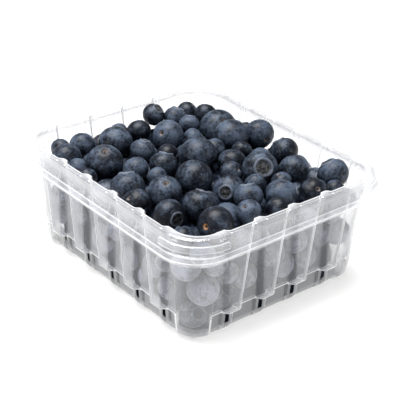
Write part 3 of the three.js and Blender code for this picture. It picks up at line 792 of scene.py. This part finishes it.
def bloom_and_light_at(points):
    """How pale the skin is: the bloom is rubbed off on top and whole low down against the walls,
    where light is painted too; painted shade darkens it towards the bottom.
    """
    x, y, z = points.T
    by_wall = np.clip((PALE_REACH - from_walls(x, y, z)) / PALE_FADE, 0, 1)
    low = np.clip((top_depth(x, y, z) - PALE_UNDER) / PALE_FADE, 0, 1)
    return by_wall * low * np.clip(z / FOOT_SHADE_RISE, 0, 1)


# Paler near the corners: bloom and painted light.
def core_bloom_and_light(points):
    to_corner = np.hypot(np.maximum(HALF_X - CORNER_IN - np.abs(points[:, 0]), 0),
                         np.maximum(HALF_Y - CORNER_IN - np.abs(points[:, 1]), 0))
    return np.clip((CORE_PALE_REACH - to_corner) / CORE_PALE_FADE, 0, CORE_PALE)


def heap_mesh():
    """The core and all berries that show: points, faces, polar, skin, tone, stain, and paleness
    from bloom and painted light.
    """
    noise = np.random.RandomState(HEAP_SEED)
    points, faces = heap_core()
    plain = np.zeros(len(points))
    parts = [(points, faces, plain + CORE_POLAR, points * CORE_SKIN, plain, plain + CORE_STAIN,
              core_bloom_and_light(points))]
    for x, y, z, radius, axis, number in packed_berries():
        if number is not None:
            axis = top_axis(number, noise)
        tone, stain = noise.uniform(*TONES), noise.uniform(*STAINS)
        if number in TAN_SCARS:
            stain = TAN_STAIN
        if not shows(x, y, z, radius):
            continue
        fine = number is not None or top_depth(x, y, z) < TOP_LAYER
        points, faces, polar, skin = berry_mesh(x, y, z, radius, axis, fine, number in WITHERED,
                                                noise)
        tone, stain = np.full(len(points), tone), np.full(len(points), stain)
        parts.append((points, faces, polar, skin, tone, stain, bloom_and_light_at(points)))
    return join(parts)


# ---- Materials ----

WHITE = (1, 1, 1, 1)


class Nodes:
    """A material's nodes, made and linked in one call each."""

    def __init__(self, name):
        self.material = bpy.data.materials.new(name)
        self.material.use_nodes = True
        self.tree = self.material.node_tree
        self.tree.nodes.clear()
        self.output = self.tree.nodes.new("ShaderNodeOutputMaterial")

    def feed(self, socket, value):
        """Links the socket to another one, or sets it to a plain value."""
        if isinstance(value, bpy.types.NodeSocket):
            self.tree.links.new(value, socket)
        else:
            socket.default_value = value

    def add(self, kind, settings=None, **inputs):
        """A node; its inputs by name, with _ for a space, or by number as i0, i1 and so on."""
        node = self.tree.nodes.new(kind)
        for key, value in (settings or {}).items():
            setattr(node, key, value)
        for key, value in inputs.items():
            numbered = key[0] == "i" and key[1:].isdigit()
            self.feed(node.inputs[int(key[1:]) if numbered else key.replace("_", " ")], value)
        return node

    def math(self, operation, a, b=0.0, c=0.0, clamp=False):
        settings = dict(operation=operation, use_clamp=clamp)
        return self.add("ShaderNodeMath", settings, i0=a, i1=b, i2=c).outputs[0]

    def field(self, name, kind="Fac"):
        return self.add("ShaderNodeAttribute", dict(attribute_name=name)).outputs[kind]

    def step(self, value, low, high):
        """0 below low, 1 above high, smooth between."""
        node = self.add("ShaderNodeMapRange", dict(interpolation_type="SMOOTHSTEP"), Value=value)
        node.inputs["From Min"].default_value = low
        node.inputs["From Max"].default_value = high
        return node.outputs[0]

    def mix(self, factor, a, b):
        """The first colour where the factor is 0, the second where it is 1."""
        return self.add("ShaderNodeMix", dict(data_type="RGBA"), i0=factor, i6=a, i7=b).outputs[2]

    def blend(self, factor, a, b):
        """The same for two shaders' nodes."""
        return self.add("ShaderNodeMixShader", None, i0=factor, i1=a.outputs[0], i2=b.outputs[0])

    def noise(self, vector, scale, detail, rough):
        return self.add("ShaderNodeTexNoise", None, Vector=vector, Scale=scale, Detail=detail,
                        Roughness=rough).outputs[0]

    def finish(self, shader):
        self.tree.links.new(shader.outputs[0], self.output.inputs["Surface"])
        return self.material


HAZE_FACE_ON, HAZE_EDGE_ON = 0.15, 1.9  # times the milkiness: face on, and more edge on
# The creases' painted highlight: its gain, and how far aside it shows from.
CREASE_HIGHLIGHT_GAIN, CREASE_HIGHLIGHT_VIEW = 2.5, (0.38, 0.52)  # a crease shows only from far enough aside
LINE_STRENGTH, LINE_POWER = 0.7, 9.0  # the white line where the sheet is seen edge on
# The haze's grey where thin, and the painted shade on what shows through a rib's flank.
THIN_SHADE, FLANK_SHADE = (0.50, 0.51, 0.54, 1), (0.72, 0.73, 0.76, 1)
GLOW_SHARE = 0.45  # of the scattered light, that which goes through
SHINE_FACE_ON, SHINE_EDGE_ON, SHINE_POWER, SHINE_ROUGHNESS = 0.03, 0.4, 5.0, 0.12


def plastic_material():
    """Thin clear plastic, a little milky, with painted highlights and shade. It looks whiter edge
    on.
    """
    n = Nodes("clear_plastic")
    milk_and_highlight = n.field("milk_and_highlight")
    edge_on = n.add("ShaderNodeLayerWeight", None, Blend=0.5).outputs["Facing"]
    haze = n.math("MULTIPLY", milk_and_highlight, n.math("MULTIPLY_ADD", edge_on, HAZE_EDGE_ON, HAZE_FACE_ON))
    # Painted highlight along the creases and the ledge, seen from far enough aside.
    crease_highlight = n.math("MULTIPLY", n.field("crease_highlight"), CREASE_HIGHLIGHT_GAIN, clamp=True)
    crease_highlight_seen = n.math("MULTIPLY", crease_highlight, n.step(edge_on, *CREASE_HIGHLIGHT_VIEW))
    rim = n.math("MULTIPLY", n.math("POWER", edge_on, LINE_POWER), LINE_STRENGTH)
    # The edge-on white, and the creases' painted highlight.
    line = n.math("MAXIMUM", rim, crease_highlight_seen)
    alpha = n.math("ADD", haze, line, clamp=True)
    # The haze's colour: grey where thin, white where thick and at the painted highlights.
    shade = n.mix(n.math("MAXIMUM", milk_and_highlight, line), THIN_SHADE, WHITE)
    scatter = n.add("ShaderNodeBsdfDiffuse", None, Color=shade)
    glow = n.add("ShaderNodeBsdfTranslucent", None, Color=shade)
    milky = n.blend(GLOW_SHARE, scatter, glow)
    # Painted shade: what shows through a rib's flank is darker.
    through = n.mix(n.field("flank"), WHITE, FLANK_SHADE)
    clear = n.add("ShaderNodeBsdfTransparent", None, Color=through)
    gloss = n.add("ShaderNodeBsdfGlossy", None, Color=WHITE, Roughness=SHINE_ROUGHNESS)
    shine = n.math("MULTIPLY_ADD", n.math("POWER", edge_on, SHINE_POWER), SHINE_EDGE_ON,
                   SHINE_FACE_ON)
    return n.finish(n.blend(shine, n.blend(alpha, clear, milky), gloss))


SKIN_DARK, SKIN_DUSTY = (0.003, 0.004, 0.007, 1), (0.056, 0.075, 0.110, 1)
# The pale skin by the walls: whole bloom, and painted light.
SKIN_PALE, SPECK = (0.38, 0.39, 0.46, 1), (0.008, 0.009, 0.014, 1)
CROWN_GREY = (0.14, 0.16, 0.20, 1)
DISC_DARK, DISC_LIGHT = (0.008, 0.008, 0.010, 1), (0.052, 0.053, 0.056, 1)
SCAR_DULL, SCAR_TAN = (0.095, 0.084, 0.084, 1), (0.30, 0.16, 0.08, 1)
SCAR_DARK = (0.010, 0.006, 0.005, 1)
# Where these begin and end, from 0 at the crown to 1 at the scar.
DISC_EDGE, RING_INNER, RING_OUTER = (0.112, 0.130), (0.118, 0.135), (0.155, 0.185)
SCAR_EDGE, SCAR_HOLE = (0.938, 0.952), (0.964, 0.976)
# A noise's scale, detail and roughness.
BROAD_NOISE, FINE_NOISE, SPECK_NOISE = (1.3, 2.0, 0.5), (7.0, 5.0, 0.65), (26.0, 2.0, 0.5)
FINE_SHARE, BROAD_SHARE, TONE_SHARE = 0.7, 0.6, 0.22  # of the noises and the tone in the bloom
BLOOM_RANGE, WHOLE_RANGE, WHOLE_LEAST = (0.64, 0.98), (0.64, 0.92), 0.2
SPECK_RANGE, SPECK_STRENGTH, RING_STRENGTH, DISC_RANGE = (0.60, 0.72), 0.5, 0.45, (0.40, 0.62)
SKIN_GLOSS, SKIN_IOR, SKIN_SHEEN, SHEEN_ROUGHNESS = 0.5, 1.27, 0.4, 0.4
BARE_ROUGHNESS, BLOOM_ROUGHNESS = 0.36, 0.16
BUMP_STRENGTH, BUMP_HEIGHT = 0.25, 0.4 * MM


def berry_material():
    """Dark blue skin under a dusty bloom that is rubbed off in patches; crown and scar are
    duller."""
    n = Nodes("berry_skin")
    skin = n.field("skin", "Vector")
    polar, tone, bloom_and_light, stain = (n.field(name) for name in ("polar", "tone", "bloom_and_light", "stain"))
    broad = n.noise(skin, *BROAD_NOISE)
    fine = n.noise(skin, *FINE_NOISE)
    specks = n.noise(skin, *SPECK_NOISE)
    patches = n.math("MULTIPLY_ADD", fine, FINE_SHARE, n.math("MULTIPLY", broad, BROAD_SHARE))
    patches = n.math("MULTIPLY_ADD", tone, TONE_SHARE, patches)
    bloom = n.step(patches, *BLOOM_RANGE)
    colour = n.mix(bloom, SKIN_DARK, SKIN_DUSTY)
    whole = n.math("MULTIPLY_ADD", n.step(patches, *WHOLE_RANGE), 1 - WHOLE_LEAST, WHOLE_LEAST)
    # Paler by the walls and under the top: whole bloom with painted light; painted shade at the
    # bottom.
    colour = n.mix(n.math("MULTIPLY", bloom_and_light, whole), colour, SKIN_PALE)
    speck = n.math("MULTIPLY", n.step(specks, *SPECK_RANGE), SPECK_STRENGTH)
    colour = n.mix(speck, colour, SPECK)
    # The crown: a dull ring round a rough grey disc.
    outside = n.math("SUBTRACT", 1.0, n.step(polar, *RING_OUTER))
    ring = n.math("MULTIPLY", n.step(polar, *RING_INNER), outside)
    colour = n.mix(n.math("MULTIPLY", ring, RING_STRENGTH), colour, CROWN_GREY)
    disc = n.math("SUBTRACT", 1.0, n.step(polar, *DISC_EDGE))
    colour = n.mix(disc, colour, n.mix(n.step(fine, *DISC_RANGE), DISC_DARK, DISC_LIGHT))
    # The stem scar: a dark pit with a dull to tan edge.
    colour = n.mix(n.step(polar, *SCAR_EDGE), colour, n.mix(stain, SCAR_DULL, SCAR_TAN))
    colour = n.mix(n.step(polar, *SCAR_HOLE), colour, SCAR_DARK)
    gloss = n.math("MULTIPLY", n.step(stain, *CORE_MARK), SKIN_GLOSS)
    bump = n.add("ShaderNodeBump", None, Strength=BUMP_STRENGTH, Distance=BUMP_HEIGHT,
                 Height=fine)
    roughness = n.math("MULTIPLY_ADD", bloom, BLOOM_ROUGHNESS, BARE_ROUGHNESS)
    shader = n.add("ShaderNodeBsdfPrincipled", None, Base_Color=colour, Roughness=roughness,
                   IOR=SKIN_IOR, Normal=bump.outputs[0],
                   Sheen_Weight=n.math("MULTIPLY", bloom_and_light, SKIN_SHEEN),
                   Sheen_Roughness=SHEEN_ROUGHNESS, Specular_IOR_Level=gloss)
    return n.finish(shader)


FLOOR_GREY, FLOOR_GLOW, FLOOR_ROUGHNESS = (0.50, 0.50, 0.49, 1), 0.52, 0.9
GLOW_EDGE = (-5 * MM, 0.5 * MM)  # from the base's edge: no glow inside, all of it outside


def floor_material():
    """A white floor that glows a little, so that shadows stay faint, but not under the tub."""
    n = Nodes("floor_white")
    spot = n.add("ShaderNodeTexCoord").outputs["Object"]
    x, y, _ = n.add("ShaderNodeSeparateXYZ", None, Vector=spot).outputs
    past_x = n.math("SUBTRACT", n.math("ABSOLUTE", x), (HALF_X + AT_BASE["out"]) * MM)
    past_y = n.math("SUBTRACT", n.math("ABSOLUTE", y), (HALF_Y + AT_BASE["out"]) * MM)
    outside = n.step(n.math("MAXIMUM", past_x, past_y), *GLOW_EDGE)
    shader = n.add("ShaderNodeBsdfPrincipled", None, Base_Color=FLOOR_GREY,
                   Roughness=FLOOR_ROUGHNESS, Emission_Color=WHITE,
                   Emission_Strength=n.math("MULTIPLY", outside, FLOOR_GLOW))
    return n.finish(shader)


# ---- Floor and light ----

FLOOR_HALF, FLOOR_Z = 3000.0, -0.05
SKY_LIGHT = 0.36
LIT_POINT = Vector((0, 0, 0.04))
# Each soft light: where it is, in metres, its width and its power.
SOFTBOXES = {
    "overhead": ((-0.1, 0.2, 1.1), 0.9, 33.0),
    "left": ((-1.1, 0.1, 0.45), 0.4, 3.5),
    "right": ((0.5, -1.1, 0.45), 0.4, 3.5),
}
SHEETS_IN_A_ROW = 32  # how many clear surfaces a ray may pass


def add_floor():
    corners = [(x * FLOOR_HALF, y * FLOOR_HALF, FLOOR_Z)
               for x, y in ((-1, -1), (1, -1), (1, 1), (-1, 1))]
    floor = mesh_piece("floor", corners, [(0, 1, 2, 3)])
    floor.data.materials.append(floor_material())


def add_softbox(name, position, width, power):
    data = bpy.data.lights.new(name, "AREA")
    data.shape, data.size, data.energy = "DISK", width, power
    lamp = bpy.data.objects.new(name, data)
    lamp.location = position
    lamp.rotation_mode = "QUATERNION"
    lamp.rotation_quaternion = (Vector(position) - LIT_POINT).to_track_quat("Z", "Y")
    bpy.context.collection.objects.link(lamp)


def add_world():
    world = bpy.data.worlds.new("studio")
    world.use_nodes = True
    world.node_tree.nodes["Background"].inputs[0].default_value = WHITE
    world.node_tree.nodes["Background"].inputs[1].default_value = SKY_LIGHT
    bpy.context.scene.world = world


# ---- The whole ----

def place(piece, material, node):
    """Puts a piece in the place of a CAD node, on the only body."""
    piece.data.materials.append(material)
    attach(piece, "root")
    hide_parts(node)


def add_tub():
    parts = [tub_mesh()]
    for index in range(4):
        points, faces, milk_and_highlight = boss_mesh(index)
        parts.append((points, faces, milk_and_highlight, 0 * milk_and_highlight, 0 * milk_and_highlight))
    points, faces, milk_and_highlight, crease_highlight, flank = join(parts)
    # The flank field paints shade on what shows through the ribs' flanks.
    tub = mesh_piece("tub", points, faces, dict(milk_and_highlight=milk_and_highlight, crease_highlight=crease_highlight, flank=flank))
    shading = tub.modifiers.new("even_shading", "WEIGHTED_NORMAL")
    shading.keep_sharp = True
    place(tub, plastic_material(), "punnet")


def add_heap():
    points, faces, polar, skin, tone, stain, bloom_and_light = heap_mesh()
    heap = mesh_piece("blueberries", points, faces,
                      dict(polar=polar, skin=skin, tone=tone, stain=stain, bloom_and_light=bloom_and_light))
    place(heap, berry_material(), "berries")


add_tub()
add_heap()
add_floor()
add_world()
for light, (position, width, power) in SOFTBOXES.items():
    add_softbox(light, position, width, power)
add_camera()

scene = bpy.context.scene
scene.view_settings.view_transform = "Standard"
scene.cycles.transparent_max_bounces = SHEETS_IN_A_ROW
